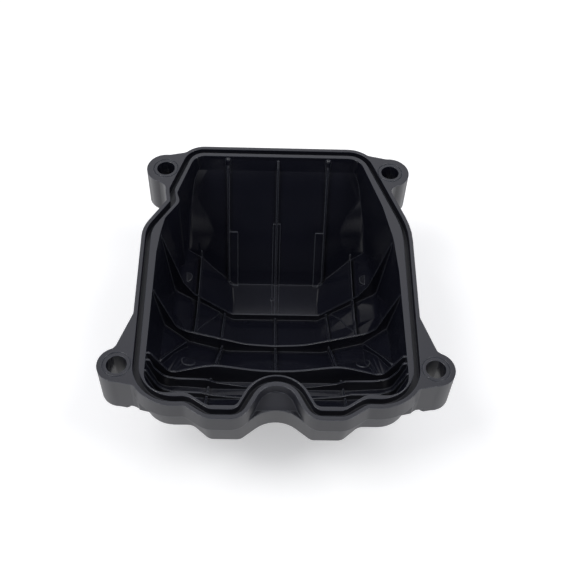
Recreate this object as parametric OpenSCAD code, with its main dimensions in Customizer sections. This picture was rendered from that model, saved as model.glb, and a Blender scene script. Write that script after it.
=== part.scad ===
// Valve cover, one moulded piece: a deep ribbed bowl under a grooved rim,
// with four bolt ears and an arch in the front edge.
// Millimetres. Z is up, the rim's sealing face is z = 0 and the bowl hangs
// below it. X = 0 is the middle, Y = 0 is the line through the front bolts.

/* [Rim and groove] */
// Back edge of the seal groove, behind the front bolt line
back_y = 127.4; // [122:1:134]
// Front edge of the seal groove's lobes, before the front bolt line
front_y = -22; // [-24:0.5:-20]
// Half width of the seal groove across the widest part
half_w = 60.8; // [59:0.5:63]
// Land left outside the middle of the groove
rim_out = 3.1; // [2.6:0.1:3.6]
// Width of the seal groove
groove_w = 2.8; // [2:0.2:3.4]
// Depth of the seal groove
groove_d = 4.5; // [2:0.5:6]
// Height of the collar that carries the groove
collar_h = 9; // [7:0.5:11]

/* [Bowl] */
// Depth of the bowl's floor below the rim
bowl_d = 70.5; // [64:0.5:78]
// Wall and floor thickness
wall = 2.8; // [2:0.2:3.6]
// Half width of the flat floor
floor_w = 22.4; // [21:0.2:23.4]
// Thickness of every stiffening rib
rib_t = 0.8; // [0.7:0.1:1.6]
// Height of the tall ribs along the floor
tall_rib_h = 3; // [2:0.5:4]
// Height of the low ribs
low_rib_h = 1.6; // [1:0.2:2.4]
// Radius of the round ends that carry the back wall's side ribs to the rim
rib_end_r = 1.5; // [1.2:0.1:1.6]
// Width of the flat bands that carry the back wall's ribs down to the floor
band_w = 4.6; // [3:0.2:5]
// Height of those bands, of the raised corner panels and of the front pads
band_h = 0.6; // [0.4:0.1:1]
// Depth of the front skirt's lower edge below the rim
skirt_d = 21.5; // [20:0.5:24]

/* [Bolt ears] */
// Distance between the two front bolts
front_bolts = 135.4; // [134:0.2:138]
// Distance between the two back bolts
back_bolts = 111.8; // [110:0.2:114]
// Back bolt line behind the front bolt line
back_bolts_y = 114.8; // [113:0.2:116]
// Bolt hole diameter
bolt_d = 8.8; // [6.6:0.2:9.4]
// Outside radius of a front ear
front_ear_r = 8.4; // [8:0.2:9]
// Outside radius of a back ear
back_ear_r = 9.4; // [9:0.2:9.8]
// Height of an ear at its bolt
ear_h = 20.6; // [19:0.2:21]
// Height of the web between an ear and the rim
web_h = 18.2; // [16:0.2:19]
// Outside diameter of the fine ring cut round each bolt hole
ring_d = 12.4; // [11:0.2:13]
// Width of that ring's cut
ring_w = 0.5; // [0.4:0.1:0.8]
// Depth of that ring's cut
ring_h = 0.4; // [0.3:0.1:0.8]

/* [Hidden] */
// Largest turn between two points of a rounded corner, in degrees
arc_step = 9;
shell_c = "#3a3c40";
front_x = front_bolts / 2;
back_x = back_bolts / 2;
mid_y = (back_y + front_y) / 2;
// A depth that is always below the bowl
deep = bowl_d + 10;
// Radius that blends an ear into the rim
ear_blend = 3;
// How far an ear's outline stays inside the rim's own edge
ear_inset = 0.05;
// How far ribs and marks are rooted in the wall
root = 1.3;
// Distance of the back wall's side ribs from the middle
back_rib_x = 25.4;
// Radius of the ejector pins' round marks
pin_r = 3;

// Points of a closed outline given as corners [x, y, radius]
function dir2(a, b) = [b[0] - a[0], b[1] - a[1]] / norm([b[0] - a[0], b[1] - a[1]]);
function bend(u, v) = atan2(u[0] * v[1] - u[1] * v[0], u[0] * v[0] + u[1] * v[1]);
function arc_at(p, q, n) =
    let (u = dir2(p, q), v = dir2(q, n), a = bend(u, v), r = q[2])
    r <= 0 || abs(a) < 0.5 ? [[q[0], q[1]]] :
    let (
        s = sign(a),
        t = r * tan(abs(a) / 2),
        start = [q[0] - u[0] * t, q[1] - u[1] * t],
        c = [start[0] - s * r * u[1], start[1] + s * r * u[0]],
        k = max(2, ceil(abs(a) / arc_step)),
        a0 = atan2(start[1] - c[1], start[0] - c[0])
    )
    [for (i = [0 : k]) [c[0] + r * cos(a0 + a * i / k), c[1] + r * sin(a0 + a * i / k)]];
function rounded(c) =
    let (m = len(c))
    [for (i = [0 : m - 1]) each arc_at(c[(i + m - 1) % m], c[i], c[(i + 1) % m])];
function flip(c) = [for (i = [len(c) - 1 : -1 : 0]) [-c[i][0], c[i][1], c[i][2]]];

// Corners of the groove's centre line, right half from the back to the arch
groove_right = [
    [43.4, back_y, 11.5],
    [half_w, 78.1, 40],
    [half_w - 1.4, front_y + 4.8, 17],
    [37.5, front_y + 6.1, 7],
    [28.3, front_y, 8],
    [15.6, front_y, 6]
];
arch_top = [0, 8.4, 12];
groove_left = [
    [-15.6, front_y, 6],
    [-28.3, front_y, 8],
    [-37.5, front_y + 6.1, 7],
    [-half_w + 1.4, front_y + 4.8, 17],
    [-half_w - 0.1, 75.3, 16],
    [-50.7, 92.9, 4],
    [-51.9, 101, 5],
    [-43.9, back_y, 9]
];

// Corners of the bowl's mouth inside the groove
mouth_right = [
    [41, back_y - 3.3, 8.2],
    [50.8, 92.3, 30],
    [half_w - 6.1, 72, 40],
    [half_w - 4.9, 52, 60],
    [half_w - 5, front_y + 8.7, 10],
    [37.2, front_y + 9, 6],
    [28.8, front_y + 3.2, 4],
    [16.6, front_y + 3.2, 3]
];
mouth_arch = [0, 14.2, 14.8];
mouth_left = [
    [-16.6, front_y + 3.2, 3],
    [-28.8, front_y + 3.2, 4],
    [-37.2, front_y + 9, 6],
    [-half_w + 5, front_y + 8.7, 10],
    [-half_w + 4.6, 66, 30],
    [-54, 82, 8],
    [-47.4, 92.8, 4.5],
    [-49.3, 98.5, 4],
    [-41.9, back_y - 3.3, 7]
];

// Corners of the body below the collar, right half, at the collar's edge
skirt_right = [
    [half_w - 2.2, back_y + 4, 0],
    [half_w - 2.2, front_y + 4.4, 14],
    [36.5, front_y + 4.4, 6],
    [28.8, front_y - 2.4, 5],
    [15.4, front_y - 2.4, 4]
];
skirt_arch = [0, -11.8, 14];

module groove_line() {
    polygon(rounded(concat(groove_right, [arch_top], groove_left)));
}

module mouth() {
    polygon(rounded(concat(mouth_right, [mouth_arch], mouth_left)));
}

module skirt_line() {
    polygon(rounded(concat(skirt_right, [skirt_arch], flip(skirt_right))));
}

// Outside edge of the rim, seen from above
module rim_line() {
    offset(r = rim_out) groove_line();
}

// Outside edge of the body just below the collar
module body_line() {
    intersection() {
        offset(delta = -1.6) rim_line();
        skirt_line();
    }
}

// Round heads of the four ears, made larger by grow
module ear_heads(grow) {
    for (side = [-1, 1]) {
        translate([side * front_x, 0]) circle(r = front_ear_r + grow, $fn = 64);
        translate([side * back_x, back_bolts_y]) circle(r = back_ear_r + grow, $fn = 64);
    }
}

// Webs of one side: the front ear's from its root on the rim to its head and
// in to the rim's front corner, the back ear's along the back corner
module ear_webs(side) {
    polygon([
        [side * (half_w + 2.3), 26.9],
        [side * (front_x + 2), 7.4],
        [side * (front_x + 0.4), -front_ear_r * 0.99],
        [side * (half_w + 0.2), -9.7],
        [side * (half_w - 10.8), -11],
        [side * (half_w - 10.8), 20]
    ]);
    polygon([
        [side * (half_w - 14.6), back_y - 1.2],
        [side * (back_x - 1), back_bolts_y + back_ear_r * 0.99],
        [side * (back_x + 2.4), back_bolts_y - back_ear_r * 0.92],
        [side * (half_w - 6), back_bolts_y - 12.2],
        [side * (half_w - 14.8), back_bolts_y - 11.8]
    ]);
}

// Parts of the plan that belong to the ears. Their inner edges lie between
// the groove and the mouth, and their ends carry the webs on into the body
// under the collar.
module ear_zones() {
    outer_x = front_x + 2 * front_ear_r;
    head_end = back_bolts_y + back_ear_r + 1;
    web_end = back_bolts_y - 16;
    for (side = [-1, 1]) {
        polygon([
            [side * (half_w - 10.8), -13.5],
            [side * (half_w - 1.3), -11.2],
            [side * outer_x, -11.2],
            [side * outer_x, 7.4],
            [side * (half_w + 2.4), 27.2],
            [side * (half_w + 0.6), 32],
            [side * (half_w - 10.8), 32]
        ]);
        polygon([
            [side * (back_x - 14.4), back_y - 3],
            [side * (back_x - 15.4), back_y + 0.9],
            [side * (back_x - 9.7), back_y - 0.4],
            [side * (back_x - 0.4), head_end],
            [side * outer_x, head_end],
            [side * outer_x, web_end],
            [side * (back_x - 0.7), web_end],
            [side * (back_x - 2.9), web_end - 4.3],
            [side * (back_x - 3.6), web_end - 4.3]
        ]);
    }
}

// Ears and webs seen from above, blended into the rim
module ear_region() {
    intersection() {
        offset(r = -ear_blend)
            offset(delta = ear_blend)
                union() {
                    offset(delta = -ear_inset) rim_line();
                    ear_heads(0);
                    ear_webs(1);
                    ear_webs(-1);
                }
        ear_zones();
    }
}

module ears() {
    translate([0, 0, -web_h])
        linear_extrude(height = web_h) ear_region();
    translate([0, 0, -ear_h])
        linear_extrude(height = ear_h - web_h + 1)
            intersection() {
                ear_region();
                ear_heads(1.2);
            }
}

// Half section of the bowl across the cover: [y, floor z, x and z of the
// floor's edge, x and z of the side wall's foot, x of the wall at the rim,
// radius at the floor's edge, radius at the wall's foot]. Each z is a share
// of the bowl's depth. A negative radius is the leg of a flat chamfer.
sections = [
    [back_y - 3.1, -0.02, 36, -0.02, half_w - 14.2, -0.02, half_w - 13.6, 1, 0.5],
    [back_y - 4.4, -0.128, 36, -0.128, half_w - 14.4, -0.128, half_w - 13.8, 2, 2],
    [back_y - 10.7, -0.34, 41.5, -0.34, half_w - 15.8, -0.31, half_w - 14.8, 2, 2],
    [back_y - 14.4, -0.465, 36.5, -0.465, half_w - 15.4, -0.4, half_w - 14.4, 3, 3],
    [back_y - 17.9, -0.58, 33, -0.58, half_w - 14.8, -0.49, half_w - 13.8, 3, 4],
    [back_y - 21.2, -0.69, 35.5, -0.69, half_w - 14.2, -0.605, half_w - 12.8, 3, 5],
    [back_y - 24.4, -0.8, 39.6, -0.8, half_w - 13.6, -0.7, half_w - 11.8, 1.5, 5],
    [back_y - 27.6, -0.905, 31.5, -0.905, half_w - 13, -0.695, half_w - 10.8, 1.5, 6],
    [back_y - 29.6, -0.97, floor_w + 3.3, -0.97, half_w - 12.5, -0.69, half_w - 10.2, 1.5, 6],
    [back_y - 31, -1, floor_w + 1, -1, half_w - 12, -0.68, half_w - 9.8, 2, 6],
    [85, -1, floor_w, -1, half_w - 10.6, -0.66, half_w - 7.4, 2.5, 6],
    [73, -1, floor_w, -1, half_w - 9.6, -0.64, half_w - 5.4, 2.5, 6],
    [57, -0.885, floor_w + 0.6, -0.873, half_w - 9.2, -0.61, half_w - 4.2, 3, 7],
    [41, -0.76, floor_w + 0.6, -0.735, half_w - 9.4, -0.56, half_w - 3.8, 4, -10],
    [24, -0.575, floor_w + 2.6, -0.525, half_w - 10.2, -0.44, half_w - 3.8, 4, -9],
    [10, -0.41, floor_w + 5.6, -0.33, half_w - 10.4, -0.335, half_w - 3.8, 4, 6],
    [0, -0.395, floor_w + 5.6, -0.345, half_w - 9.4, -0.3, half_w - 3.8, 4, 6],
    [-9, -0.345, floor_w + 4.6, -0.31, half_w - 9.4, -0.26, half_w - 3.8, 4, 5],
    [-19, -0.24, floor_w + 4.6, -0.24, half_w - 9.4, -0.22, half_w - 3.8, 4, 4]
];

// Points of the blend at corner q between its neighbours p and n: an arc of
// radius r, or a flat chamfer with legs of -r
function fillet(p, q, n, r, k) =
    let (
        u = dir2(p, q),
        v = dir2(q, n),
        a = bend(u, v),
        s = a < 0 ? -1 : 1,
        leg = r < 0 ? -r : r * tan(abs(a) / 2),
        t = min(leg, 0.45 * norm([q[0] - p[0], q[1] - p[1]]), 0.45 * norm([n[0] - q[0], n[1] - q[1]])),
        rr = abs(a) < 0.5 ? 0 : t / tan(abs(a) / 2),
        start = [q[0] - u[0] * t, q[1] - u[1] * t],
        end = [q[0] + v[0] * t, q[1] + v[1] * t],
        c = [start[0] - s * rr * u[1], start[1] + s * rr * u[0]],
        a0 = atan2(start[1] - c[1], start[0] - c[0])
    )
    [for (i = [0 : k])
        abs(a) < 0.5 ? [q[0] + (i - k / 2) * 0.05 * v[0], q[1] + (i - k / 2) * 0.05 * v[1]] :
        r < 0 ? start + (end - start) * i / k :
        [c[0] + rr * cos(a0 + a * i / k), c[1] + rr * sin(a0 + a * i / k)]];

// One half section, from the middle of the floor out and up to the rim,
// moved outward by grow
function half(s, grow) =
    let (
        p0 = [0, s[1] * bowl_d - grow],
        p1 = [s[2] + 0.4 * grow, s[3] * bowl_d - grow],
        p2 = [s[4] + 0.9 * grow, s[5] * bowl_d - 0.6 * grow],
        p3 = [s[6] + grow, 1]
    )
    concat(fillet(p0, p1, p2, s[7], 4),
        fillet(p1, p2, p3, s[8] < 0 ? s[8] : s[8] + max(grow, 0), 6), [p3]);

// Whole ring of points of a section
function ring(s, grow, y) =
    let (h = half(s, grow), m = len(h))
    concat([for (i = [0 : m - 1]) [h[i][0], y, h[i][1]]],
        [for (i = [m - 1 : -1 : 0]) [-h[i][0], y, h[i][1]]]);

// The bowl's rounded shape, from the front wall to the back wall
module bowl_shape(grow) {
    n = len(sections);
    rings = [for (i = [0 : n - 1])
        ring(sections[i], grow, sections[i][0] + (i < 10 ? grow * 0.95 : i > n - 3 ? -grow : 0))];
    m = len(rings[0]);
    pts = [for (r = rings) each r];
    sides = [for (i = [0 : n - 2]) for (j = [0 : m - 1])
        let (a = i * m + j, b = i * m + (j + 1) % m)
        each [[a, a + m, b], [b, a + m, b + m]]];
    first = [for (j = [0 : m - 1]) j];
    last = [for (j = [m - 1 : -1 : 0]) (n - 1) * m + j];
    polyhedron(points = pts, faces = concat([first], sides, [last]), convexity = 6);
}

module cavity() {
    intersection() {
        translate([0, 0, -bowl_d - 5])
            linear_extrude(height = bowl_d + 6) mouth();
        bowl_shape(0);
    }
}

// Collar round the mouth, a little wider at its lower edge, where the two
// halves of the mould met
module collar() {
    translate([0, mid_y, 0])
        mirror([0, 0, 1])
            linear_extrude(height = collar_h, scale = 1.006)
                translate([0, -mid_y]) rim_line();
}

// Outside of the bowl below the collar
module bowl_outside() {
    intersection() {
        translate([0, 0, -bowl_d - 8])
            linear_extrude(height = bowl_d + 6)
                offset(delta = -1.2) body_line();
        bowl_shape(wall);
    }
}

// Front skirt with its slight draft, and the sloped ledge in the arch
module skirt() {
    translate([0, 30, -collar_h])
        mirror([0, 0, 1])
            linear_extrude(height = skirt_d - collar_h, scale = 0.978)
                translate([0, -30])
                    intersection() {
                        skirt_line();
                        translate([0, -12]) square([140, 36], center = true);
                    }
    intersection() {
        translate([-12, 0, 0])
            rotate([90, 0, 90])
                linear_extrude(height = 24)
                    polygon([
                        [-6, -4.6],
                        [-10, -5],
                        [-15.8, -collar_h + 0.2],
                        [-17, -collar_h - 1],
                        [-6, -collar_h - 1]
                    ]);
        translate([0, 0, -collar_h - 1])
            linear_extrude(height = collar_h) skirt_line();
    }
}

// Space under the arch, open downward between the skirt and the bowl
module arch_pocket() {
    translate([0, 0, -45])
        linear_extrude(height = 45 - 11.5)
            intersection() {
                difference() {
                    offset(delta = -wall - 1) skirt_line();
                    offset(delta = wall) mouth();
                }
                translate([0, -14]) square([28, 24], center = true);
            }
}

// Top edges of the ribs that run across: corners [x, z, radius], from the
// middle out to the rim
rib_a = [
    [0, 4.9 - bowl_d, 0], [23, 4.9 - bowl_d, 4], [41.8, -48, 6],
    [46.6, -38.6, 10], [55, -1.2, 1], [60, -1, 0]
];
rib_b = [[0, -47, 0], [14, -45.9, 30], [43.5, -34.6, 8], [47.6, -30.6, 4], [56, -1.4, 1], [60, -1.2, 0]];
rib_c = [
    [0, -14.5, 0], [8, -14.3, 40], [28.3, -9.7, 18], [46.8, -16.8, 3.5],
    [52.6, -4.2, 5], [54.2, -0.8, 1], [60, -0.6, 0]
];
rib_d = [
    [0, -23.2, 0], [14, -22, 30], [26.5, -18.9, 4], [30.5, -16.4, 4],
    [43, -16.1, 8], [49, -14.2, 5], [52.6, -7.6, 8], [53.9, -1, 1], [60, -0.6, 0]
];
rib_e = [
    [0, -24, 0], [16.4, -23, 20], [28.5, -20.7, 4], [32.5, -18.9, 4],
    [45.5, -18.4, 6], [50.8, -14.6, 6], [53.6, -6.3, 8], [55, -0.8, 1], [60, -0.8, 0]
];

// Top edge of the corner ribs, seen from the side: [y, z]
corner_rib_top = [[9, -deep], [9, -16.5], [14, -17.5], [20, -22], [36.5, -36.2], [38, -38], [38, -deep]];

function chain(c) =
    let (m = len(c))
    concat([[c[0][0], c[0][1]]],
        [for (i = [1 : m - 2]) each arc_at(c[i - 1], c[i], c[i + 1])],
        [[c[m - 1][0], c[m - 1][1]]]);

module cross_rib(y, top) {
    edge = chain(top);
    pts = concat(
        [for (i = [len(edge) - 1 : -1 : 1]) [-edge[i][0], edge[i][1]]],
        edge,
        [[60, -deep], [-60, -deep]]
    );
    translate([0, y + rib_t / 2, 0])
        rotate([90, 0, 0])
            linear_extrude(height = rib_t) polygon(pts);
}

// Upright plate t thick between two points of the plan, on both sides of
// the middle
module long_rib(x0, y0, x1, y1, t) {
    for (side = [-1, 1])
        translate([0, 0, -deep])
            linear_extrude(height = deep)
                polygon([
                    [side * x0 - t / 2, y0],
                    [side * x1 - t / 2, y1],
                    [side * x1 + t / 2, y1],
                    [side * x0 + t / 2, y0]
                ]);
}

module cross_ribs() {
    cross_rib(73, rib_a);
    cross_rib(41, rib_b);
    cross_rib(6.7, rib_c);
    cross_rib(3.3, rib_d);
    cross_rib(-2, rib_e);
}

// Tall ribs along the floor, from the foot of the back wall to the front
module tall_ribs() {
    difference() {
        union() {
            long_rib(39.6, 41, 39.6, back_y - 26, rib_t);
            long_rib(26.2, 41, 29, 6, rib_t);
            long_rib(0, 6, 0, 41, rib_t);
        }
        bowl_shape(-tall_rib_h);
    }
}

// Side view of the back wall's ribs: their top ends slope into the wall
module back_rib_side() {
    rotate([90, 0, 90])
        translate([0, 0, -30])
            linear_extrude(height = 60)
                polygon([
                    [40, -deep],
                    [back_y, -deep],
                    [back_y, -2.6],
                    [back_y - 3.6, -2.6],
                    [back_y - 9, -12],
                    [40, -12]
                ]);
}

// Low ribs: three up the back wall, and those between the cross ribs
module low_ribs() {
    difference() {
        union() {
            intersection() {
                union() {
                    long_rib(0, 41, 0, back_y, rib_t);
                    long_rib(back_rib_x, back_y - 31, back_rib_x, back_y, rib_t);
                }
                back_rib_side();
            }
            long_rib(27.2, 41, 26.6, 73, rib_t);
            long_rib(29.6, 7, 32, -18, rib_t);
        }
        bowl_shape(-low_rib_h);
    }
}

// Tapered round ends at the top of the back wall's two side ribs, leaning
// with the wall
module rib_ends() {
    for (side = [-1, 1])
        translate([side * back_rib_x, back_y - 3.3, -rib_end_r - 1.2])
            rotate([169, 0, 0]) {
                cylinder(r1 = rib_end_r, r2 = rib_t * 0.6, h = 11, $fn = 32);
                sphere(r = rib_end_r, $fn = 32);
            }
}

// Flat bands under the lower half of the back wall's ribs
module back_bands() {
    intersection() {
        union() {
            long_rib(0, 74, 0, back_y - 16.6, band_w - 0.8);
            long_rib(22.9, back_y - 32, 22.9, back_y - 18.6, band_w);
        }
        translate([0, 74 + back_y / 2, -20 - deep / 2]) cube([60, back_y, deep], center = true);
    }
}

// Three-cornered panels between the first two cross ribs and the tall ribs
module corner_panels() {
    for (side = [-1, 1])
        translate([0, 0, -deep])
            linear_extrude(height = deep)
                polygon([[side * 29.2, 72.6], [side * 39.6, 72.6], [side * 39.6, 49.5]]);
}

// Round marks of the front bay's ejector pins
module front_pads() {
    for (side = [-1, 1])
        translate([side * 40.6, 21.6, -deep]) cylinder(r = pin_r, h = deep, $fn = 32);
}

// What stands only a little proud of the bowl's inside
module raised_faces() {
    difference() {
        union() {
            back_bands();
            corner_panels();
            front_pads();
        }
        bowl_shape(-band_h);
    }
}

// Short slanted rib across each corner of the front bay
module corner_ribs() {
    intersection() {
        for (side = [-1, 1])
            translate([0, 0, -deep])
                linear_extrude(height = deep)
                    polygon([
                        [side * 42.2, 35.2],
                        [side * 52.6, 10],
                        [side * 53.5, 10.4],
                        [side * 43.1, 35.6]
                    ]);
        rotate([90, 0, 90])
            translate([0, 0, -60])
                linear_extrude(height = 120) polygon(corner_rib_top);
    }
}

module ribs() {
    intersection() {
        union() {
            cross_ribs();
            tall_ribs();
            low_ribs();
            raised_faces();
            corner_ribs();
            rib_ends();
        }
        bowl_shape(root);
    }
}

// Level pads left by the back ejector pins, and the gate's mark on the floor
module moulding_marks() {
    intersection() {
        union() {
            for (side = [-1, 1])
                translate([side * 46.6, 85, -deep])
                    cylinder(r = pin_r, h = deep - 0.705 * bowl_d, $fn = 32);
            translate([-1.8, 86, -deep]) cylinder(r = 0.9, h = deep - bowl_d + 0.7, $fn = 24);
        }
        bowl_shape(root);
    }
}

// One bolt hole, with the fine ring cut round it
module bolt_hole() {
    translate([0, 0, -ear_h - 10]) cylinder(d = bolt_d, h = ear_h + 20, $fn = 64);
    difference() {
        translate([0, 0, -ring_h]) cylinder(d = ring_d, h = 5, $fn = 64);
        translate([0, 0, -ring_h - 1]) cylinder(d = ring_d - 2 * ring_w, h = 7, $fn = 64);
    }
}

module bolt_holes() {
    for (side = [-1, 1]) {
        translate([side * front_x, 0, 0]) bolt_hole();
        translate([side * back_x, back_bolts_y, 0]) bolt_hole();
    }
}

module seal_groove() {
    translate([0, 0, -groove_d])
        linear_extrude(height = groove_d + 1)
            difference() {
                offset(r = groove_w / 2) groove_line();
                offset(r = -groove_w / 2) groove_line();
            }
}

module cover() {
    color(shell_c)
        difference() {
            union() {
                difference() {
                    union() {
                        collar();
                        ears();
                        skirt();
                        bowl_outside();
                    }
                    cavity();
                }
                ribs();
                moulding_marks();
            }
            seal_groove();
            bolt_holes();
            arch_pocket();
        }
}

cover();
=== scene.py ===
# %% [markdown]
# Valve cover, lit and finished as in the photograph
#
# The cover is one moulding: a deep ribbed bowl hanging under a flat, grooved
# rim, with four bolt ears. Its whole shape is in the CAD model, so this
# script dresses that model: smooth shading, a moulded nylon finish, a pale
# table, soft light and the photograph's camera. Blender's lengths are in
# metres, and MM turns millimetres into them.

# %% Load the frame
import math
import bpy
from mathutils import Matrix, Vector


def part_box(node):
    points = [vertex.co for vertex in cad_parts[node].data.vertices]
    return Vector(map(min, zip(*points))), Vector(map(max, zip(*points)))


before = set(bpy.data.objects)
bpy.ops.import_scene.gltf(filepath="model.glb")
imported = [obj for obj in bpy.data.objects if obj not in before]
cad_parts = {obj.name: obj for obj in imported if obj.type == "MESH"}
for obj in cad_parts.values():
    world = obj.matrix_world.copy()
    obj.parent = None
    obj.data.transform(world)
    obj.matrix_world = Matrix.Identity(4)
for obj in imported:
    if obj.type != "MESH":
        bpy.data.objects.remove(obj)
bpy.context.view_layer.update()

MM = 0.001
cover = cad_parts["cover"]
low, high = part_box("cover")
print("cover size in mm:", [round(side / MM, 1) for side in high - low])

# %% [markdown]
# Small helpers
#
# A colour is easiest to pick as the hex value that a paint program shows,
# but Blender mixes light in linear values, so one function converts it.
# A second function adds a node, fills its sockets and links it, which keeps
# each material's recipe short enough to read.

# %% Helpers
def colour(hex_value):
    """Linear RGBA of an sRGB hex value, by the curve of the sRGB standard."""
    channels = []
    for start in (1, 3, 5):
        shown = int(hex_value[start:start + 2], 16) / 255
        channels.append(shown / 12.92 if shown <= 0.04045 else ((shown + 0.055) / 1.055) ** 2.4)
    return (*channels, 1.0)


def add_node(tree, kind, settings=None, **sockets):
    """Adds a node; a socket takes a value, or an output to link from.

    A socket's name is written with _ for a space, or as in_0 for its place.
    False_ and True_ are the sockets False and True, which Python keeps.
    """
    new = tree.nodes.new(kind)
    for name, value in (settings or {}).items():
        setattr(new, name, value)
    for name, value in sockets.items():
        key = int(name[3:]) if name.startswith("in_") else name.rstrip("_").replace("_", " ")
        socket = new.inputs[key]
        if isinstance(value, bpy.types.NodeSocket):
            tree.links.new(value, socket)
        else:
            socket.default_value = value
    return new


def new_material(name):
    """An empty node material and its tree."""
    made = bpy.data.materials.new(name)
    made.use_nodes = True
    made.node_tree.nodes.clear()
    return made, made.node_tree


print("a middle grey, #808080, is", round(colour("#808080")[0], 3), "in linear light")

# %% [markdown]
# Smooth shading
#
# The bowl's rounded inside comes from the CAD model as flat facets. On the
# real part it is one smooth surface that ends in crisp ribs and edges. A
# Geometry Nodes modifier does the same: it joins the facets, shades every
# edge that bends less than a small angle as smooth, and leaves the sharper
# ones sharp. Upright walls, such as the bolt holes, have coarser facets and
# no slight creases, so they get a wider limit. A rounded mesh could do this
# too, but here no point moves, so the shape stays the CAD model's own.

# %% Smooth the facets
SMOOTH_BELOW = math.radians(12)
SMOOTH_WALLS_BELOW = math.radians(24)
UPRIGHT_WITHIN = 0.03  # an upright wall's normal has a height of 0, give or take this
SAME_POINT = 0.002 * MM


def smooth_by_angle(thing, limit, wall_limit):
    group = bpy.data.node_groups.new("smooth_facets", "GeometryNodeTree")
    group.interface.new_socket("Geometry", in_out="INPUT", socket_type="NodeSocketGeometry")
    group.interface.new_socket("Geometry", in_out="OUTPUT", socket_type="NodeSocketGeometry")
    given = group.nodes.new("NodeGroupInput")
    joined = add_node(group, "GeometryNodeMergeByDistance",
                      Geometry=given.outputs[0], Distance=SAME_POINT)
    # The loaded mesh may bring flat normals of its own, which would win over smooth shading.
    plain = add_node(group, "GeometryNodeRemoveAttribute",
                     Geometry=joined.outputs[0], Name="custom_normal")
    faces = add_node(group, "GeometryNodeSetShadeSmooth", {"domain": "FACE"},
                     Geometry=plain.outputs[0], Shade_Smooth=True)
    facing = add_node(group, "ShaderNodeSeparateXYZ",
                      Vector=add_node(group, "GeometryNodeInputNormal").outputs["Normal"])
    upright = add_node(group, "FunctionNodeCompare", {"operation": "EQUAL"},
                       in_0=facing.outputs["Z"], in_1=0.0, Epsilon=UPRIGHT_WITHIN)
    most = add_node(group, "GeometryNodeSwitch", {"input_type": "FLOAT"},
                    Switch=upright.outputs["Result"], False_=limit, True_=wall_limit)
    bend = add_node(group, "GeometryNodeInputMeshEdgeAngle")
    gentle = add_node(group, "FunctionNodeCompare", {"operation": "LESS_THAN"},
                      in_0=bend.outputs["Unsigned Angle"], in_1=most.outputs[0])
    edges = add_node(group, "GeometryNodeSetShadeSmooth", {"domain": "EDGE"},
                     Geometry=faces.outputs[0], Shade_Smooth=gentle.outputs["Result"])
    add_node(group, "NodeGroupOutput", Geometry=edges.outputs[0])
    modifier = thing.modifiers.new("smooth facets", "NODES")
    modifier.node_group = group


smooth_by_angle(cover, SMOOTH_BELOW, SMOOTH_WALLS_BELOW)
print("smooth shading below", round(math.degrees(SMOOTH_BELOW)), "degrees, on upright walls below",
      round(math.degrees(SMOOTH_WALLS_BELOW)))

# %% [markdown]
# Moulded glass-filled nylon
#
# Engine covers of this kind are injection-moulded in black nylon with short
# glass fibres, and the skin copies the steel of the mould. Inside, the steel
# is fairly smooth, so the bowl mirrors the room as a dark, soft sheen.
# Outside it is spark-eroded, and that matt skin spreads the same light into
# an even dark grey. Black plastic shows hardly any colour of its own, so one
# black with one gloss would look like paint. The next cells make its colour,
# its gloss and its grain, and the last one joins them in one shader.

# %% [markdown]
# Nylon: colour
#
# The plastic is a cool near-black that changes slowly from where it flowed
# into the mould. Every edge is a little rounded and rubbed paler. A pale colour
# is also laid along every bend, hollow creases as well as ridges, as a painted
# highlight that draws the thin light lines along the ribs and the glints in the
# bowl's creases. Rounding each edge in the mesh would take many faces. The
# Bevel node bends the normal near an edge instead, and where the bent normal
# leaves the face's own, this colour of rubbed wear and painted highlight is mixed in.

# %% Nylon: colour
NYLON_DARK = colour("#13141c")
NYLON_LIGHT = colour("#181923")
# The pale edge colour below is rubbed wear and a painted highlight in one. It goes on every bend,
# hollow ones too, and the share and bend limits after it set how much of it an edge takes and
# where it starts.
EDGE_WEAR_AND_HIGHLIGHT = colour("#6c7079")
WEAR_AND_HIGHLIGHT_SHARE = 0.55  # how much of the rubbed colour an edge takes at most
BEND_STARTS = 0.995  # cosine of the bend where rubbing starts to show
BEND_FULL = 0.8  # and where it has its full share


def nylon_colour(tree, flow, rounded, flat):
    bend = add_node(tree, "ShaderNodeVectorMath", {"operation": "DOT_PRODUCT"},
                    in_0=rounded, in_1=flat)
    # wear and painted highlight: the pale colour is mixed in where the rounded normal bends away
    # from the face's own
    wear_and_highlight = add_node(tree, "ShaderNodeMapRange", Value=bend.outputs["Value"],
                      From_Min=BEND_STARTS, From_Max=BEND_FULL, To_Min=0.0, To_Max=WEAR_AND_HIGHLIGHT_SHARE)
    skin = add_node(tree, "ShaderNodeMix", {"data_type": "RGBA"},
                    in_0=flow, in_6=NYLON_DARK, in_7=NYLON_LIGHT)
    worn_and_highlit = add_node(tree, "ShaderNodeMix", {"data_type": "RGBA"},
                    in_0=wear_and_highlight.outputs[0], in_6=skin.outputs[2], in_7=EDGE_WEAR_AND_HIGHLIGHT)
    return worn_and_highlit.outputs[2]


print("nylon's darkest value in linear light:", round(NYLON_DARK[0], 4))

# %% [markdown]
# Nylon: gloss
#
# A shader's roughness runs from 0, a mirror, to 1, chalk. Smooth moulded
# plastic is near 0.2, and a spark-eroded skin near 0.5. Two masks say which
# skin a point has. A face that looks away from the bowl's middle is outside.
# The Ambient Occlusion node finds narrow places, such as the seal groove and
# the feet of the ribs, where the steel can't be polished and dust settles.
# Painting these masks by hand would work too, but these follow the shape.

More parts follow.
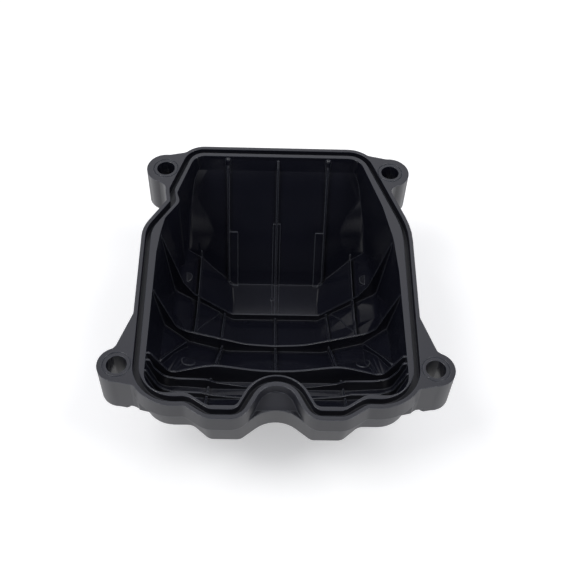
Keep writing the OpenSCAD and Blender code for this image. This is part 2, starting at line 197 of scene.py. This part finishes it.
# %% Nylon: gloss
ROUGH_INSIDE_LEAST = 0.15
ROUGH_INSIDE_MOST = 0.2
FLOW_LOW = 0.3  # the noise lies between about 0.3 and 0.7
FLOW_HIGH = 0.7
ROUGH_OUTSIDE = 0.45
BOWL_MIDDLE = Vector((0, 50, 0)) * MM
OUTSIDE_STARTS = 0.1  # cosine between a face's normal and the way out from the middle
OUTSIDE_FULL = 0.3
ROUGH_CREVICE = 0.55
CREVICE_REACH = 4 * MM  # walls closer than this shut a place in
CREVICE_STARTS = 0.7  # share of open sky left, where the dull skin starts
CREVICE_FULL = 0.4
CREVICE_SAMPLES = 8


def nylon_roughness(tree, place, flow, flat):
    inside = add_node(tree, "ShaderNodeMapRange", Value=flow, From_Min=FLOW_LOW,
                      From_Max=FLOW_HIGH, To_Min=ROUGH_INSIDE_LEAST, To_Max=ROUGH_INSIDE_MOST)
    away = add_node(tree, "ShaderNodeVectorMath", {"operation": "SUBTRACT"},
                    in_0=place, in_1=BOWL_MIDDLE)
    way_out = add_node(tree, "ShaderNodeVectorMath", {"operation": "NORMALIZE"},
                       in_0=away.outputs[0])
    outward = add_node(tree, "ShaderNodeVectorMath", {"operation": "DOT_PRODUCT"},
                       in_0=way_out.outputs[0], in_1=flat)
    skin = add_node(tree, "ShaderNodeMapRange", Value=outward.outputs["Value"],
                    From_Min=OUTSIDE_STARTS, From_Max=OUTSIDE_FULL,
                    To_Min=inside.outputs[0], To_Max=ROUGH_OUTSIDE)
    open_sky = add_node(tree, "ShaderNodeAmbientOcclusion",
                        {"samples": CREVICE_SAMPLES, "only_local": True},
                        Distance=CREVICE_REACH)
    dull = add_node(tree, "ShaderNodeMapRange", Value=open_sky.outputs["AO"],
                    From_Min=CREVICE_STARTS, From_Max=CREVICE_FULL,
                    To_Min=skin.outputs[0], To_Max=ROUGH_CREVICE)
    return dull.outputs[0]


print("nylon's roughness: inside", ROUGH_INSIDE_LEAST, "to", ROUGH_INSIDE_MOST,
      "outside", ROUGH_OUTSIDE, "in grooves", ROUGH_CREVICE)

# %% [markdown]
# Nylon: grain, and the whole skin
#
# Spark erosion leaves pits well under a tenth of a millimetre wide. They are
# too fine to show in a picture of this size, so the noise that makes them is
# drawn about five times as wide. A Bump node bends the normal with it, on
# top of the rounded edges, so no face is added. The IOR is nylon's own.

# %% Nylon: grain, and the whole skin
GRAIN_WIDTH = 0.35 * MM  # drawn coarser than the real grain of about 0.07 mm
GRAIN_HEIGHT = 0.006 * MM
GRAIN_STRENGTH = 0.5
GRAIN_DETAIL = 3.0  # each step of detail halves the width of the pits
GRAIN_FINE_SHARE = 0.6  # and each is this strong beside the one before
FLOW_WIDTH = 25 * MM  # from one slow change to the next
FLOW_DETAIL = 2.0
FLOW_FINE_SHARE = 0.5
EDGE_RADIUS = 0.5 * MM
EDGE_SAMPLES = 6
NYLON_IOR = 1.53


def nylon_grain(tree, place, rounded):
    grain = add_node(tree, "ShaderNodeTexNoise", Vector=place,
                     Scale=1 / GRAIN_WIDTH, Detail=GRAIN_DETAIL, Roughness=GRAIN_FINE_SHARE)
    bump = add_node(tree, "ShaderNodeBump", Height=grain.outputs["Fac"],
                    Distance=GRAIN_HEIGHT, Strength=GRAIN_STRENGTH, Normal=rounded)
    return bump.outputs[0]


def moulded_nylon():
    made, tree = new_material("moulded_glass_filled_nylon")
    place = add_node(tree, "ShaderNodeTexCoord").outputs["Object"]
    flat = add_node(tree, "ShaderNodeNewGeometry").outputs["Normal"]
    rounded = add_node(tree, "ShaderNodeBevel", {"samples": EDGE_SAMPLES},
                       Radius=EDGE_RADIUS).outputs[0]
    flow = add_node(tree, "ShaderNodeTexNoise", Vector=place,
                    Scale=1 / FLOW_WIDTH, Detail=FLOW_DETAIL, Roughness=FLOW_FINE_SHARE)
    flow = flow.outputs["Fac"]
    skin = add_node(tree, "ShaderNodeBsdfPrincipled", IOR=NYLON_IOR,
                    Base_Color=nylon_colour(tree, flow, rounded, flat),
                    Roughness=nylon_roughness(tree, place, flow, flat),
                    Normal=nylon_grain(tree, place, rounded))
    add_node(tree, "ShaderNodeOutputMaterial", Surface=skin.outputs[0])
    return made


nylon = moulded_nylon()
for slot in cover.material_slots:
    slot.material = nylon
print("cover finish:", nylon.name)

# %% [markdown]
# Table
#
# The photograph was taken on a white sweep that prints as white, with a soft
# shadow left under the part. The table is a pale matt sheet, level under the
# bowl's lowest face and so wide that its edge is lost in the horizon. More
# light would turn it white too, but would spoil the cover's own tones. So
# where the camera, a gloss or glass sees it, part of its colour is given as
# plain white light, and it reads white while the shadow still shows.

# %% Table
TABLE_SIDE = 20.0  # in metres
TABLE_PALE = colour("#f0f0f0")
PLAIN_WHITE = colour("#ffffff")
WHITE_SHARE = 0.35


def white_sweep():
    made, tree = new_material("white_sweep")
    lit = add_node(tree, "ShaderNodeBsdfDiffuse", Color=TABLE_PALE)
    rays = add_node(tree, "ShaderNodeLightPath")
    seen = add_node(tree, "ShaderNodeMath", {"operation": "ADD", "use_clamp": True},
                    in_0=rays.outputs["Is Camera Ray"], in_1=rays.outputs["Is Glossy Ray"])
    seen = add_node(tree, "ShaderNodeMath", {"operation": "ADD", "use_clamp": True},
                    in_0=seen.outputs[0], in_1=rays.outputs["Is Transmission Ray"])
    share = add_node(tree, "ShaderNodeMath", {"operation": "MULTIPLY"},
                     in_0=seen.outputs[0], in_1=WHITE_SHARE)
    white = add_node(tree, "ShaderNodeEmission", Color=PLAIN_WHITE, Strength=share.outputs[0])
    both = add_node(tree, "ShaderNodeAddShader", in_0=lit.outputs[0], in_1=white.outputs[0])
    add_node(tree, "ShaderNodeOutputMaterial", Surface=both.outputs[0])
    return made


half = TABLE_SIDE / 2
corners = [(x, y, low.z) for x, y in ((-half, -half), (half, -half), (half, half), (-half, half))]
table_mesh = bpy.data.meshes.new("table")
table_mesh.from_pydata(corners, [], [(0, 1, 2, 3)])
table_mesh.materials.append(white_sweep())
table = bpy.data.objects.new("table", table_mesh)
bpy.context.scene.collection.objects.link(table)
print("table at z =", round(low.z / MM, 1), "mm")

# %% [markdown]
# Room
#
# A flat black surface shows what it mirrors far more than its own colour, so
# the room around the cover matters as much as its material. The room is a
# plain, slightly cool grey. It meets the table's own tone at the horizon, so
# no hard line shows in the gloss. Behind the cover it has a wide soft glow,
# like a white wall above the table, and the rim and the ears mirror it as
# the clear grey band that they have in the photograph. A ready-made photo of
# a room could stand here, but these few nodes need no file.

# %% Room
ROOM_TINT = colour("#f8f9ff")
HORIZON_LEVEL = 0.8
ROOM_LEVEL = 0.38
HORIZON_TOP = 0.02  # where the horizon's tone starts to fade: 0 is level, 1 straight up
ROOM_STARTS = 0.25  # and where the room has its own level
GLOW_LEVEL = 1.0
GLOW_HEART = math.radians(6)  # full glow this far around its middle
GLOW_EDGE = math.radians(24)  # and none beyond this
GLOW_RISE = math.radians(53)
GLOW_WAY = Vector((0, math.cos(GLOW_RISE), math.sin(GLOW_RISE)))


def pale_room():
    made = bpy.data.worlds.new("pale room")
    made.use_nodes = True
    tree = made.node_tree
    tree.nodes.clear()
    way = add_node(tree, "ShaderNodeTexCoord").outputs["Generated"]
    height = add_node(tree, "ShaderNodeSeparateXYZ", Vector=way).outputs["Z"]
    room = add_node(tree, "ShaderNodeMapRange", Value=height, From_Min=HORIZON_TOP,
                    From_Max=ROOM_STARTS, To_Min=HORIZON_LEVEL, To_Max=ROOM_LEVEL)
    nearness = add_node(tree, "ShaderNodeVectorMath", {"operation": "DOT_PRODUCT"},
                        in_0=way, in_1=GLOW_WAY)
    glow = add_node(tree, "ShaderNodeMapRange", {"interpolation_type": "SMOOTHSTEP"},
                    Value=nearness.outputs["Value"], From_Min=math.cos(GLOW_EDGE),
                    From_Max=math.cos(GLOW_HEART), To_Min=0.0, To_Max=GLOW_LEVEL)
    level = add_node(tree, "ShaderNodeMath", {"operation": "ADD"},
                     in_0=room.outputs[0], in_1=glow.outputs[0])
    light = add_node(tree, "ShaderNodeBackground", Color=ROOM_TINT, Strength=level.outputs[0])
    add_node(tree, "ShaderNodeOutputWorld", Surface=light.outputs[0])
    return made


bpy.context.scene.world = pale_room()
print("room level:", ROOM_LEVEL, "and in the glow:", ROOM_LEVEL + GLOW_LEVEL)

# %% [markdown]
# Lamps
#
# Two soft square lamps stand high on the left and the right, a little to the
# front. They leave the small soft shadow under the lobes and draw the thin
# bright lines along the ribs. One lamp overhead would be simpler, but its
# light fills the bowl evenly and its shadow hides under the cover. The left
# lamp is a little stronger, since the right inside of the bowl is the
# lighter one in the photograph.

# %% Lamps
LAMP_AWAY = 1.3
LAMP_SIDE = 0.55
LAMPS = (
    ("left lamp", (-0.50, -0.18, 0.85), 6.4),
    ("right lamp", (0.50, -0.18, 0.85), 4.8),
)
middle = (low + high) / 2
for name, towards, watts in LAMPS:
    way = Vector(towards).normalized()
    lamp_data = bpy.data.lights.new(name, "AREA")
    lamp_data.size = LAMP_SIDE
    lamp_data.energy = watts
    lamp = bpy.data.objects.new(name, lamp_data)
    lamp.location = middle + way * LAMP_AWAY
    lamp.rotation_euler = way.to_track_quat("Z", "Y").to_euler()
    bpy.context.scene.collection.objects.link(lamp)
    print(name, watts, "W at", [round(v, 2) for v in lamp.location], "m")

# %% [markdown]
# Camera
#
# The camera's place was worked out from the cover itself: the rim's corners
# and the four bolt holes fix where it stood, how far it looked down and how
# long its lens was. Moving a camera by hand until it seems right also works,
# but it can't tell a near camera from a long lens. It looks down steeply
# from in front, a little turned.

# %% Camera
CAMERA_PLACE = Vector((-5.404, -200.718, 325.349)) * MM
LOOK_DOWN = math.radians(53.40)
TURN = math.radians(2.615)
ROLL = math.radians(-3.085)
LENS = 55.86  # in millimetres, as is the sensor
SENSOR_WIDTH = 36
SEES_AS_FAR_AS = 20  # in metres, past the table's edge

camera_data = bpy.data.cameras.new("camera")
camera_data.lens = LENS
camera_data.sensor_width = SENSOR_WIDTH
camera_data.clip_end = SEES_AS_FAR_AS
camera = bpy.data.objects.new("camera", camera_data)
aim = (Matrix.Rotation(-TURN, 4, "Z")
       @ Matrix.Rotation(math.pi / 2 - LOOK_DOWN, 4, "X")
       @ Matrix.Rotation(-ROLL, 4, "Z"))
camera.matrix_world = Matrix.Translation(CAMERA_PLACE) @ aim
bpy.context.scene.collection.objects.link(camera)
bpy.context.scene.camera = camera
bpy.context.scene.view_settings.view_transform = "Standard"
print("camera looks down", round(math.degrees(LOOK_DOWN), 1), "degrees")
